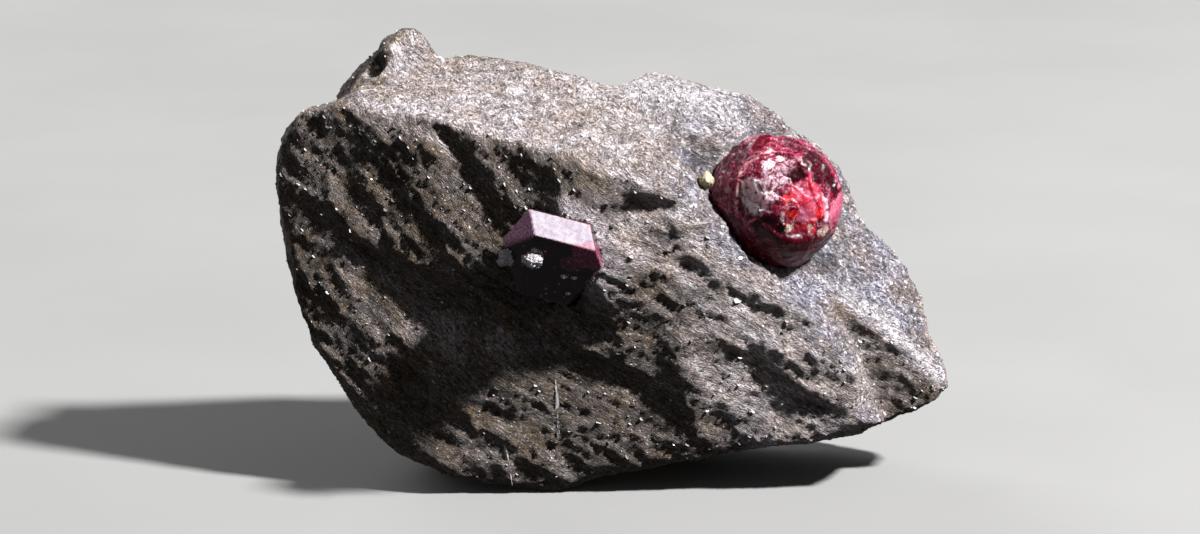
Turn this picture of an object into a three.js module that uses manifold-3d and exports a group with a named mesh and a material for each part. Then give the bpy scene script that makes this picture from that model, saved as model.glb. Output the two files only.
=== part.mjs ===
// Garnet in matrix: a broken block of grey mica schist that holds two garnet crystals and one pale grain.
// Millimetres, +Z up. The block rests at Z 0 on the flat of its foot, and the origin lies there under the
// middle of its box.
//
// The shapes are drawn as the block shows itself from the front and a little above: u runs to the right,
// v up the picture and w out of it, towards the viewer. drawnToPart turns that frame into the part's own.
import * as THREE from "three";
import { ConvexGeometry } from "three/addons/geometries/ConvexGeometry.js";
import { ImprovedNoise } from "three/addons/math/ImprovedNoise.js";
import { mergeVertices } from "three/addons/utils/BufferGeometryUtils.js";
import Module from "manifold-3d";

const wasm = await Module();
wasm.setup();

// The drawing frame: its rise above the horizon, and the height of its zero above the foot.
const VIEW_RISE = THREE.MathUtils.degToRad(14);
const DRAWING_HEIGHT = 20.6;

// The block's middle, from which its surface is measured outwards, and its half depths before it broke.
const BLOCK_CENTRE = new THREE.Vector3(0, 3, 0);
const FRONT_DEPTH = 21;
const BACK_DEPTH = 34;
const RIM_LEAN = -0.28; // the outline's plane leans back by this much for each millimetre up
const RIM_TURN = -0.1; // and by this much for each millimetre to the right
const SQUARENESS = 2.7; // 2 would be an ellipsoid, more is squarer
const BLOCK_DETAIL = 18;
const EDGE_SOFTNESS = 0.5;
const EDGE_LOSS = 1; // what the rounding of the edges takes off the outline
const FRONT_FINENESS = 7; // the points are moved towards the front by this much, where the detail is

// The block's outline from the front, without its horn, clockwise from the left.
const OUTLINE = [
  [-38.2, 14.6], [-37.6, 18.2], [-36.6, 20.3], [-35, 22.1], [-33, 22.9], [-31, 23.2], [-28.5, 25],
  [-25, 26.5], [-20, 28], [-16.5, 29.6], [-13.8, 29.4], [-9.7, 27.9], [-5.2, 26.7], [-1.7, 25.6],
  [1.6, 24.5], [4.1, 25.8], [6, 26.9], [8.6, 26.3], [11.6, 25.1], [16.4, 24], [20, 22.2],
  [22.8, 19.6], [25.1, 18.7], [27.1, 17], [29.1, 14.7], [30.3, 11.8], [31.2, 8.9], [35.2, 5.5],
  [37.5, 0.9], [38.6, -3.7], [40.9, -8.4], [41.3, -10.2], [38.6, -12.4], [33.5, -13.8], [30, -15.2],
  [23.6, -16.3], [16.8, -17.2], [9.8, -18.1], [4.1, -19.2], [-0.5, -20], [-4.6, -21.6], [-9.7, -21.2],
  [-13.2, -20.7], [-17.3, -19.9], [-20.7, -18.4], [-23.6, -17], [-28.2, -12.7], [-31.6, -7.8],
  [-34.2, -2.6], [-36, 2.6], [-37.2, 8.4],
];

// The faces along which the block broke: a point on each, and the way it looks.
const BLOCK_FACES = {
  roof: { at: [-4, 20, 9.8], looks: [0.05, 0.87, 0.49] },
  shoulder: { at: [21.4, 12, 3.2], looks: [0.62, 0.48, 0.62] },
  bulge: { at: [-30, 18, 6.2], looks: [-0.33, 0.02, 0.94] },
  lowerLeft: { at: [-24, 4.5, 9.4], looks: [-0.3, -0.08, 0.95] },
  front: { at: [12, 0, 12.6], looks: [0.03, -0.24, 0.97] },
  back: { at: [0, 5, -18], looks: [0.12, 0.02, -0.99] },
  backRight: { at: [24, 5, -14.5], looks: [0.5, 0.05, -0.86] },
  backLeft: { at: [-26, 8, -15], looks: [-0.52, 0.2, -0.83] },
  backRoof: { at: [0, 22, -15.5], looks: [-0.05, 0.62, -0.78] },
  backFoot: { at: [0, -14, -16], looks: [0.1, -0.35, -0.93] },
};

// The horn at the top left, a stump of harder rock.
const HORN_CENTRE = new THREE.Vector3(-24, 25.5, -5);
const HORN_DETAIL = 6;
const HORN_SOFTNESS = 0.7;
const HORN_FACES = {
  left: { at: [-27.8, 30, -6], looks: [-0.72, 0.66, 0.22] },
  leftFoot: { at: [-31.8, 24, -6], looks: [-0.95, 0.25, 0.2] },
  right: { at: [-20.4, 30.4, -6], looks: [0.92, 0.38, 0.1] },
  top: { at: [-23.4, 33.6, -6.5], looks: [0.1, 0.98, 0.15] },
  front: { at: [-23, 28, -2], looks: [0.12, 0.42, 0.9] },
  back: { at: [-23, 28, -9], looks: [0.1, 0.35, -0.93] },
  foot: { at: [-23, 22, -6], looks: [0, -0.9, -0.4] },
};
const HORN_HOLLOW = { at: [-27.6, 29, -2.6], size: [1.7, 2.8, 2] };

// The schist's layers: the way their planes look, their thickness, and how far their broken edges step.
const LAYER_NORMAL = new THREE.Vector3(0.42, 0.62, 0.66).normalize();
const LAYER_THICKNESS = 2.6;
const LAYER_STEP = 0.45;
const LAYER_WANDER = 0.8;
const LUMP_SIZE = 9;
const LUMP_HEIGHT = 0.5;
const KNOB_SIZE = 3.6;
const KNOB_HEIGHT = 0.25;

// Ledges on the front: the rock on the right hand of the line is set back by drop, and comes level again
// over reach.
const LEDGES = [
  { line: [[-40, 14.6], [-33, 10.2], [-29, 7], [-24, 4.5], [-18, 1.5], [-12, 0.5]], drop: 2.2, reach: 11 },
  { line: [[-0.5, 10.2], [3.3, 11.6], [6.8, 11.9], [9.5, 10.5]], drop: 1, reach: 4.5 },
  { line: [[-5, -1.2], [-1.3, -3], [2.2, -2.6]], drop: 1.2, reach: 3.2 },
  { line: [[-6.4, -7.8], [-3.4, -6.8], [0.7, -7.2], [4.1, -9.2], [6.4, -11.6]], drop: 0.5, reach: 4 },
  { line: [[30, -4.6], [23.4, 0], [16.6, 6], [13.4, 11], [10.4, 15], [7, 18]], drop: 2, reach: 7 },
  { line: [[16.6, 0.4], [20, -1], [23.2, -2.2], [26, -5]], drop: 0.7, reach: 2.8 },
];
const LEDGE_EDGE = 0.9;

// The shelf at the right tip: to the right of the line, the rock in front of the floor is broken away.
const SHELF_LINE = [[35.5, -20], [33, -13.6], [30.4, -6.2], [27.8, 0.4], [26.6, 4]];
const SHELF_FLOOR = { at: [33, -13.6, 3], looks: [0.25, -0.04, 0.967] };

// Furrows on the front, and ridges where the depth is less than nothing.
const FURROWS = [
  { line: [[-27.4, 18.9], [-25.5, 15.4], [-22.8, 11.4], [-19, 7]], depth: 0.5, width: 1 },
  { line: [[-18.6, 19.8], [-16.8, 16.8], [-14.4, 13.2], [-12.4, 9.8]], depth: 0.6, width: 1.1 },
  { line: [[-25.8, 22.4], [-23.2, 21.2], [-20.6, 20.2], [-17.6, 19.2]], depth: 0.9, width: 1 },
  { line: [[-33.4, 18.6], [-30.2, 13.8], [-26, 8.8]], depth: 0.6, width: 1.1 },
  { line: [[2, 26], [5.6, 21.4], [9.6, 17.8], [13.4, 13.4], [16.6, 8]], depth: 1.6, width: 2.4 },
  { line: [[16.2, -4.6], [19.2, -9.4], [24, -15.8]], depth: 0.8, width: 1.9 },
  { line: [[8.8, -2.2], [10.6, -11], [12, -17]], depth: -0.9, width: 1.7 },
];

// Hollows in the front, and lumps where the depth is less than nothing.
const HOLLOWS = [
  { at: [-11.4, -1.8], size: [7.5, 4.4], depth: 3.6 },
  { at: [22.4, 11], size: [9, 9], depth: 3 },
  { at: [2.6, 3.4], size: [2.6, 4.6], depth: -1.5 },
  { at: [-1.2, -0.6], size: [3.2, 2.6], depth: -1.2 },
  { at: [-12, 17.5], size: [7, 5], depth: 0.9 },
  { at: [14, 22], size: [6, 3.4], depth: -1.2 },
];

// The crystals. A gap keeps each clear of its socket.
const SOCKET_GAP = 0.35;
const LARGE_GARNET_CENTRE = new THREE.Vector3(20.9, 11.8, 4.6);
const LARGE_GARNET_SPIN = THREE.MathUtils.degToRad(23);
const LARGE_GARNET_TURN = THREE.MathUtils.degToRad(29);
const LARGE_GARNET_RADIUS = 7.7;
const LARGE_GARNET_UNEVENNESS = 0.02;
const LARGE_GARNET_ROUNDING = 1.075; // the ball that its corners are worn back to, in radii
const LARGE_GARNET_SHELL = 0.4; // the outer layer, which is broken off inside the window
const LARGE_GARNET_WINDOW = [
  [-0.3, 5.9], [-2.1, 5.3], [-3.3, 4.5], [-4.2, 3.3], [-4.6, 1.9], [-4.5, -1.9], [-3.1, -2.3],
  [-1, -3.2], [0.5, -4.2], [3.2, -4.4], [5.2, -2.7], [5.4, -1], [4.5, 0.7], [3.5, 3.2], [2.2, 5.2],
];
const SMALL_GARNET_CENTRE = new THREE.Vector3(-5.3, 5, 15.4);
const SMALL_GARNET_SPIN = THREE.MathUtils.degToRad(-15);
const SMALL_GARNET_TURN = THREE.MathUtils.degToRad(-9);
const SMALL_GARNET_RADIUS = 5.6;
const SMALL_GARNET_FACES = {
  "1,1,0": 5.7, "0,1,1": 6.3, "1,0,1": 3.5, "1,0,-1": 5.5, "0,1,-1": 5, "0,-1,1": 5, "1,-1,0": 4.9,
  "-1,0,1": 4.9,
};
const WHITE_CLUMPS = [
  { at: [-10.7, 5.05], size: [0.95, 0.95, 0.6] },
  { at: [-7.9, 4.9], size: [1.2, 0.95, 0.5] },
];
const GRAIN_CENTRE = new THREE.Vector3(12.6, 14.2, 9.2);
const GRAIN_SIZE = [1.1, 1.2, 1];

const noise = new ImprovedNoise();
const vector = ([x, y, z]) => new THREE.Vector3(x, y, z);

// A smooth climb from 0 to 1 as x goes from low to high.
const climb = (x, low, high) => THREE.MathUtils.smoothstep(x, low, high);

// A repeatable number from -1 to 1 for a whole number.
const pick = (n) => THREE.MathUtils.seededRandom(n * 7919 + 101) * 2 - 1;

// The part's frame: the picture's tilt is taken out, and the foot comes to Z 0.
const drawnToPart = new THREE.Matrix4()
  .makeTranslation(0, 0, DRAWING_HEIGHT)
  .multiply(new THREE.Matrix4().makeRotationX(Math.PI / 2 - VIEW_RISE));

// A closed geometry as a solid, and a solid as a geometry.
function solid(geometry) {
  const bare = geometry.clone();
  bare.deleteAttribute("normal");
  bare.deleteAttribute("uv");
  const merged = mergeVertices(bare, 1e-4);
  const vertProperties = new Float32Array(merged.attributes.position.array);
  const triVerts = new Uint32Array(merged.index.array);
  return new wasm.Manifold(new wasm.Mesh({ numProp: 3, vertProperties, triVerts }));
}

function geometryOf(body) {
  const { vertProperties, triVerts, numProp, numVert } = body.getMesh();
  const places = new Float32Array(numVert * 3);
  for (let i = 0; i < numVert; i++) {
    places.set(vertProperties.subarray(i * numProp, i * numProp + 3), i * 3);
  }
  const geometry = new THREE.BufferGeometry();
  geometry.setAttribute("position", new THREE.BufferAttribute(places, 3));
  geometry.setIndex(new THREE.BufferAttribute(new Uint32Array(triVerts), 1));
  geometry.computeVertexNormals();
  return geometry;
}

// How far the outline lies from the block's middle, for each way round.
function outlineReach() {
  const steps = 720;
  const points = OUTLINE.map(([u, v]) => new THREE.Vector3(u - BLOCK_CENTRE.x, v - BLOCK_CENTRE.y, 0));
  const reach = new Array(steps).fill(0);
  for (const p of new THREE.CatmullRomCurve3(points, true).getPoints(steps * 6)) {
    const slot = Math.round(((Math.atan2(p.y, p.x) / (2 * Math.PI) + 1) % 1) * steps) % steps;
    reach[slot] = Math.max(reach[slot], Math.hypot(p.x, p.y));
  }
  return (angle) => {
    const place = ((angle / (2 * Math.PI) + 1) % 1) * steps;
    const low = Math.floor(place);
    return THREE.MathUtils.lerp(reach[low % steps], reach[(low + 1) % steps], place - low);
  };
}

// The distance from a middle to the nearest of several faces along a direction, with the edges eased.
function reachOfFaces(centre, direction, faces, softness, others = []) {
  const reaches = [...others];
  for (const { at, looks } of Object.values(faces)) {
    const normal = vector(looks).normalize();
    const towards = normal.dot(direction);
    if (towards > 1e-3) reaches.push(vector(at).sub(centre).dot(normal) / towards);
  }
  const nearest = Math.min(...reaches);
  const sum = reaches.reduce((total, r) => total + Math.exp((nearest - r) / softness), 0);
  return nearest - softness * Math.log(sum);
}

// The nearest place on a line of points: its distance, its side (right is positive), and how far along it
// lies, from 0 to 1.
function nearLine(line, u, v) {
  let best = { distance: Infinity, side: 1, along: 0 };
  for (let i = 0; i + 1 < line.length; i++) {
    const [au, av] = line[i];
    const [bu, bv] = line[i + 1];
    const [du, dv] = [bu - au, bv - av];
    const t = THREE.MathUtils.clamp(((u - au) * du + (v - av) * dv) / (du * du + dv * dv), 0, 1);
    const [eu, ev] = [u - au - t * du, v - av - t * dv];
    const distance = Math.hypot(eu, ev);
    if (distance < best.distance) {
      best = { distance, side: du * ev - dv * eu < 0 ? 1 : -1, along: (i + t) / (line.length - 1) };
    }
  }
  return best;
}

// How far the front is cut back at a place, by all its ledges, furrows and hollows.
function frontRelief(u, v) {
  let back = 0;
  for (const { line, drop, reach } of LEDGES) {
    const { distance, side, along } = nearLine(line, u, v);
    const step = climb(side * distance, -LEDGE_EDGE / 2, LEDGE_EDGE / 2);
    const ends = climb(along, 0, 0.12) * climb(1 - along, 0, 0.12);
    back += drop * step * ends * (1 - climb(distance, 0, reach));
  }
  for (const { line, depth, width } of FURROWS) {
    const { distance, along } = nearLine(line, u, v);
    const ends = climb(along, 0, 0.2) * climb(1 - along, -0.3, 0.15);
    back += depth * ends * Math.exp(-((distance / width) ** 2));
  }
  for (const { at, size, depth } of HOLLOWS) {
    back += depth * Math.exp(-(((u - at[0]) / size[0]) ** 2) - ((v - at[1]) / size[1]) ** 2);
  }
  return back;
}

// Where a face lies in front of a place in the drawing, and how much a place belongs to the shelf.
function floorOf({ at, looks }, { x, y }) {
  return at[2] - (looks[0] * (x - at[0]) + looks[1] * (y - at[1])) / looks[2];
}

function shelfShare({ x, y }) {
  const { distance, side } = nearLine(SHELF_LINE, x, y);
  return climb(side * distance, -LEDGE_EDGE / 2, LEDGE_EDGE / 2);
}

// The schist's own roughness: layers whose broken edges step in and out, over broad lumps.
function layering(p) {
  const wander = LAYER_WANDER * noise.noise(p.x / 11, p.y / 11, p.z / 11);
  const level = p.dot(LAYER_NORMAL) / LAYER_THICKNESS + wander;
  const layer = Math.floor(level);
  const edge = climb(level - layer, 0.3, 0.7);
  const steps = THREE.MathUtils.lerp(pick(layer), pick(layer + 1), edge);
  const patch = 0.6 + 0.6 * noise.noise(p.x / 8 + 40, p.y / 8, p.z / 8);
  const lumps = noise.noise(p.x / LUMP_SIZE, p.y / LUMP_SIZE + 20, p.z / LUMP_SIZE);
  const knobs = noise.noise(p.x / KNOB_SIZE, p.y / KNOB_SIZE, p.z / KNOB_SIZE + 60);
  return LAYER_STEP * patch * steps + LUMP_HEIGHT * lumps + KNOB_HEIGHT * knobs;
}

// Moves the points of a geodesic ball out to where reach says, along their own directions from a centre.
function star(centre, detail, spread, reach, finish) {
  const geometry = new THREE.IcosahedronGeometry(1, detail);
  const places = geometry.attributes.position;
  for (let i = 0; i < places.count; i++) {
    const direction = spread(new THREE.Vector3().fromBufferAttribute(places, i)).normalize();
    const point = direction.clone().multiplyScalar(reach(direction)).add(centre);
    finish(point, direction);
    places.setXYZ(i, point.x, point.y, point.z);
  }
  return solid(geometry);
}

// The main block, before its foot and its sockets are cut.
function block() {
  const outline = outlineReach();
  const stretch = new THREE.Vector3(40, 26, 20);
  const spread = (d) => d.multiply(stretch).add(new THREE.Vector3(0, 0, FRONT_FINENESS));
  const fromRim = (d) => d.z - RIM_LEAN * d.y - RIM_TURN * d.x;
  const reach = (d) => {
    const across = Math.hypot(d.x, d.y) / (outline(Math.atan2(d.y, d.x)) + EDGE_LOSS);
    const deep = Math.abs(fromRim(d)) / (fromRim(d) > 0 ? FRONT_DEPTH : BACK_DEPTH);
    const unbroken = (across ** SQUARENESS + deep ** SQUARENESS) ** (-1 / SQUARENESS);
    return reachOfFaces(BLOCK_CENTRE, d, BLOCK_FACES, EDGE_SOFTNESS, [unbroken]);
  };
  const finish = (p, d) => {
    const facing = climb(fromRim(d), 0.02, 0.3);
    const rough = layering(p);
    p.z -= facing * frontRelief(p.x, p.y);
    if (facing > 0) p.z -= shelfShare(p) * Math.max(0, p.z - floorOf(SHELF_FLOOR, p));
    p.addScaledVector(d, rough);
  };
  return star(BLOCK_CENTRE, BLOCK_DETAIL, spread, reach, finish);
}

function horn() {
  const reach = (d) => reachOfFaces(HORN_CENTRE, d, HORN_FACES, HORN_SOFTNESS);
  const finish = (p, d) => p.addScaledVector(d, 0.6 * layering(p));
  const hollow = new THREE.IcosahedronGeometry(1, 1).scale(...HORN_HOLLOW.size);
  const stump = star(HORN_CENTRE, HORN_DETAIL, (d) => d, reach, finish);
  return stump.subtract(solid(hollow.translate(...HORN_HOLLOW.at)));
}

// A crystal from its faces: each has a normal, and a distance from the middle.
function crystal(faces) {
  const corners = [];
  const fits = (p) => faces.every(({ normal, distance }) => normal.dot(p) < distance + 1e-6);
  for (let i = 0; i < faces.length; i++) {
    for (let j = 0; j < i; j++) {
      for (let k = 0; k < j; k++) {
        const [a, b, c] = [faces[i], faces[j], faces[k]];
        const volume = a.normal.dot(b.normal.clone().cross(c.normal));
        if (Math.abs(volume) < 1e-6) continue;
        const p = b.normal.clone().cross(c.normal).multiplyScalar(a.distance);
        p.addScaledVector(c.normal.clone().cross(a.normal), b.distance);
        p.addScaledVector(a.normal.clone().cross(b.normal), c.distance);
        p.divideScalar(volume);
        if (fits(p) && corners.every((q) => q.distanceTo(p) > 1e-3)) corners.push(p);
      }
    }
  }
  return new ConvexGeometry(corners);
}

// The directions of a crystal form: all orders and signs of three indices.
function form(a, b, c) {
  const found = new Map();
  for (const [x, y, z] of [[a, b, c], [b, c, a], [c, a, b], [a, c, b], [c, b, a], [b, a, c]]) {
    for (let signs = 0; signs < 8; signs++) {
      const turned = [signs & 1 ? -x : x, signs & 2 ? -y : y, signs & 4 ? -z : z];
      const indices = turned.map((i) => i + 0); // minus nothing becomes nothing
      found.set(indices.join(), vector(indices).normalize());
    }
  }
  return [...found.values()];
}

// The axes of a crystal that shows a three-sided corner to the viewer: spin turns it in the picture, and
// turn moves the corner to one side.
function cornerForward(spin, turn) {
  const axes = [0, 1, 2].map((i) => {
    const angle = spin + (i * 2 * Math.PI) / 3;
    return new THREE.Vector3(Math.cos(angle), Math.sin(angle), Math.SQRT1_2).normalize();
  });
  const standing = new THREE.Matrix4().makeBasis(...axes);
  return new THREE.Matrix4().makeRotationY(turn).multiply(standing);
}

// The small garnet is a twelve-sided crystal. Its lower front face lies nearest to its middle.
function smallCrystal(growth = 0) {
  const axes = cornerForward(SMALL_GARNET_SPIN, SMALL_GARNET_TURN);
  const faces = form(1, 1, 0).map((normal) => {
    const index = normal.toArray().map(Math.round).join();
    const distance = (SMALL_GARNET_FACES[index] ?? SMALL_GARNET_RADIUS) + growth;
    return { normal: normal.clone().applyMatrix4(axes), distance };
  });
  return solid(crystal(faces).translate(...SMALL_GARNET_CENTRE));
}

// Clumps of white mica sit on its lower front face.
function smallGarnet() {
  const axes = cornerForward(SMALL_GARNET_SPIN, SMALL_GARNET_TURN);
  const looks = new THREE.Vector3(1, 0, 1).normalize().applyMatrix4(axes);
  const at = SMALL_GARNET_CENTRE.clone().addScaledVector(looks, SMALL_GARNET_FACES["1,0,1"]);
  const face = { at: at.toArray(), looks: looks.toArray() };
  return WHITE_CLUMPS.reduce((body, { at: [u, v], size }) => {
    const clump = new THREE.IcosahedronGeometry(1, 2);
    const places = clump.attributes.position;
    for (let i = 0; i < places.count; i++) {
      const p = new THREE.Vector3().fromBufferAttribute(places, i);
      p.multiplyScalar(1 + 0.3 * noise.noise(2.1 * p.x + u, 2.1 * p.y + v, 2.1 * p.z));
      places.setXYZ(i, p.x, p.y, p.z);
    }
    clump.scale(...size).translate(u, v, floorOf(face, { x: u, y: v }));
    return body.add(solid(clump));
  }, smallCrystal());
}

// The large garnet is a twenty-four-sided crystal whose corners are worn round.
function roundedCrystal(growth = 0) {
  const axes = cornerForward(LARGE_GARNET_SPIN, LARGE_GARNET_TURN);
  const faces = form(2, 1, 1).map((normal, i) => {
    const distance = LARGE_GARNET_RADIUS * (1 + LARGE_GARNET_UNEVENNESS * pick(i)) + growth;
    return { normal: normal.clone().applyMatrix4(axes), distance };
  });
  const ball = new THREE.IcosahedronGeometry(LARGE_GARNET_RADIUS * LARGE_GARNET_ROUNDING + growth, 4);
  const place = LARGE_GARNET_CENTRE.toArray();
  return solid(crystal(faces).translate(...place)).intersect(solid(ball.translate(...place)));
}

// Its outer layer is missing from a window in the front, where the next layer lies bare.
function largeGarnet() {
  const outline = new THREE.Shape(LARGE_GARNET_WINDOW.map(([u, v]) => new THREE.Vector2(u, v)));
  const prism = new THREE.ExtrudeGeometry(outline, { depth: 2 * LARGE_GARNET_RADIUS, bevelEnabled: false });
  const window = solid(prism.translate(...LARGE_GARNET_CENTRE));
  return roundedCrystal().subtract(window.subtract(roundedCrystal(-LARGE_GARNET_SHELL)));
}

// The pale grain beside the large garnet.
function paleGrain(growth = 0) {
  const corners = new THREE.IcosahedronGeometry(1, 0);
  corners.scale(...GRAIN_SIZE.map((s) => s + growth)).translate(...GRAIN_CENTRE);
  return solid(corners);
}

// A block of space below the foot's plane, in the drawing frame.
function belowFoot() {
  const size = 120;
  const box = new THREE.BoxGeometry(size, size, size).translate(0, 0, -size / 2);
  return solid(box.applyMatrix4(drawnToPart.clone().invert()));
}

function matrix() {
  let rock = block().add(horn()).subtract(belowFoot());
  for (const grown of [roundedCrystal, smallCrystal, paleGrain]) rock = rock.subtract(grown(SOCKET_GAP));
  return rock.decompose().sort((a, b) => b.volume() - a.volume())[0];
}

const finishes = {
  schist: { color: 0x8d8784, roughness: 0.85, metalness: 0 },
  garnet: { color: 0x6d1226, roughness: 0.25, metalness: 0 },
  darkGarnet: { color: 0x3a0f1c, roughness: 0.2, metalness: 0 },
  pale: { color: 0xc9c2a0, roughness: 0.55, metalness: 0 },
};

function piece(name, body, finish) {
  const geometry = geometryOf(body).applyMatrix4(drawnToPart);
  const mesh = new THREE.Mesh(geometry, new THREE.MeshStandardMaterial({ ...finish, flatShading: true }));
  mesh.name = name;
  return mesh;
}

const specimen = new THREE.Group();
specimen.add(piece("matrix", matrix(), finishes.schist));
specimen.add(piece("garnet_large", largeGarnet(), finishes.garnet));
specimen.add(piece("garnet_small", smallGarnet(), finishes.darkGarnet));
specimen.add(piece("pale_grain", paleGrain(), finishes.pale));

// The origin comes under the middle of the box.
const middle = new THREE.Box3().setFromObject(specimen).getCenter(new THREE.Vector3());
for (const mesh of specimen.children) mesh.geometry.translate(-middle.x, -middle.y, 0);

export default specimen;
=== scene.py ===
"""Garnet in matrix: the looks of two garnets grown in a block of mica schist."""

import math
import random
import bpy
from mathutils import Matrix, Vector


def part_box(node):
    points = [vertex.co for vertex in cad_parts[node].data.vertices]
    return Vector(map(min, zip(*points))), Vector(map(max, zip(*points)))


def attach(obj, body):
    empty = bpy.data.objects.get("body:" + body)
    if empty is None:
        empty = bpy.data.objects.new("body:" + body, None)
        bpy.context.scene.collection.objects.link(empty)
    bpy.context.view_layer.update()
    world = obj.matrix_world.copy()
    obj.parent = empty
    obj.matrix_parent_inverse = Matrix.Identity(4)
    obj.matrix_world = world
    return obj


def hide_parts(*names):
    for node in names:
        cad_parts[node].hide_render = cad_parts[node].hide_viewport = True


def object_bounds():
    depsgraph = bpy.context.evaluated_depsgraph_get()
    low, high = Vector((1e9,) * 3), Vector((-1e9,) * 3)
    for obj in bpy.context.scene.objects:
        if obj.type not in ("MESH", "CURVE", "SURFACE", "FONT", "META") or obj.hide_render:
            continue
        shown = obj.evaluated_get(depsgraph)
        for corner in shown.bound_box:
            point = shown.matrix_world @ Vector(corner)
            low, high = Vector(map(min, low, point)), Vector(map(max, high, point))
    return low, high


bl_info = {
    "name": "Garnet in Matrix",
    "version": (1, 0, 0),
    "blender": (4, 5, 0),
    "location": "View3D > Sidebar > Specimen",
    "description": "Dresses the solids of a garnet specimen in schist, crystal and mica",
    "category": "Object",
}

import bmesh
import bpy
import numpy as np
from bpy.props import FloatProperty, FloatVectorProperty, IntProperty, PointerProperty
from mathutils import Matrix, Vector, noise
from mathutils.bvhtree import BVHTree

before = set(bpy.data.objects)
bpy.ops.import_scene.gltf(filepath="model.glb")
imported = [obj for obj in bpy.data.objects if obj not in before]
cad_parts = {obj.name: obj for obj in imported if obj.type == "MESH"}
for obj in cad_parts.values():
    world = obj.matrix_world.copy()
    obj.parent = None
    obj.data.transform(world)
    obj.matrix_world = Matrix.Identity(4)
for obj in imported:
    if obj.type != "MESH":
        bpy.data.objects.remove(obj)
CAD_LOW, CAD_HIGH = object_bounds()

MM = 0.001

# The drawing's own axes: right, up and out to the viewer, who looks down a little.
VIEW_RISE = math.radians(14)
RIGHT = Vector((1, 0, 0))
UP = Vector((0, math.sin(VIEW_RISE), math.cos(VIEW_RISE)))
TOWARD = Vector((0, -math.cos(VIEW_RISE), math.sin(VIEW_RISE)))
DRAWING_TURN = Matrix((RIGHT, UP, TOWARD))

GRAIN_LOW, GRAIN_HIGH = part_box("pale_grain")
GRAIN_CENTRE = (GRAIN_LOW + GRAIN_HIGH) / 2
GRAIN_DRAWN = Vector((12.6, 14.2, 9.2))
DRAWING_ZERO = GRAIN_CENTRE - MM * (DRAWING_TURN.transposed() @ GRAIN_DRAWN)

# The sheets of the schist: their upright, the trace that they leave on the front, and the third axis.
SHEET_UPRIGHT = (DRAWING_TURN.transposed() @ Vector((0.42, 0.62, 0.66))).normalized()
SHEET_TRACE = SHEET_UPRIGHT.cross(TOWARD).normalized()
SHEET_TURN = Matrix((SHEET_TRACE, SHEET_UPRIGHT.cross(SHEET_TRACE), SHEET_UPRIGHT))

LARGE_CENTRE = Vector((20.9, 11.8, 4.6))
SMALL_CENTRE = Vector((-5.3, 5.0, 15.4))

# Millimetres: the gap round a crystal, how far from it the rock closes on it, and how far into it.
SOCKET_GAP = 0.35
LIP_REACH = 1.1
LIP_OVERLAP = 0.07
# The side of a crystal, as the viewer sees it, where the gap stays open.
CREVICE_SIDE = Vector((-0.72, -0.69, 0.0))
# Heights in millimetres between which the roughness of the rock sets in, so that its foot stays flat.
FOOT = (0.2, 1.2)
CRACK_WIDTH = 0.06
VIEWER_FAR = 60.0

# The large garnet: rounds of wear, and in millimetres where its front begins, its bands and its chips.
GARNET_WEAR = 14
FRONT_HALF = (-2.5, -0.5)
BAND_WIDTH = 0.62
CHIP_WIDTH = 1.5
# Where a patch and a flat break fade out.
PATCH_EDGE = (1.08, 0.9)
FACET_EDGE = (-0.1, 0.06)

# The small garnet's frosted side, which faces the light and so carries painted sheen, and its violet side, as
# the viewer sees them, and the room left round a crust.
FROSTED_LIT_SIDE = Vector((0.28, 0.41, 0.87))
VIOLET_SIDE = Vector((-0.75, 0.22, 0.6))
CRUST_MARGIN = 0.75
# Below the first angle its faces count as one, and above the second they meet in an edge.
FLAT_ANGLE = math.radians(2)
EDGE_ANGLE = math.radians(20)

# Flakes: the share of pale ones, and how far they keep from the foot and from the garnets' centres.
PALE_SHARE = 0.62
FLAKE_LOWEST = 1.5
LARGE_CLEAR = 8.3
SMALL_CLEAR = 6.9

# The lights: name, where it comes from, distance and width in metres, and the setting that gives its power.
LIGHTS = (
    ("main_light", (0.62, -0.151, 0.718), 1.3, 0.13, "key"),
    ("fill_light", (-0.62, -0.7, 0.35), 0.9, 0.7, "fill"),
    ("back_light", (-0.5, 0.8, 0.35), 0.9, 0.6, "back"),
)
SKY_COLOUR = (0.95, 0.97, 1.0, 1.0)
CAMERA_DRAWN = (0.0, 3.96, 544.0)
CAMERA_LENS = 135.0
FLOOR_HALF = 3.0

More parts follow.
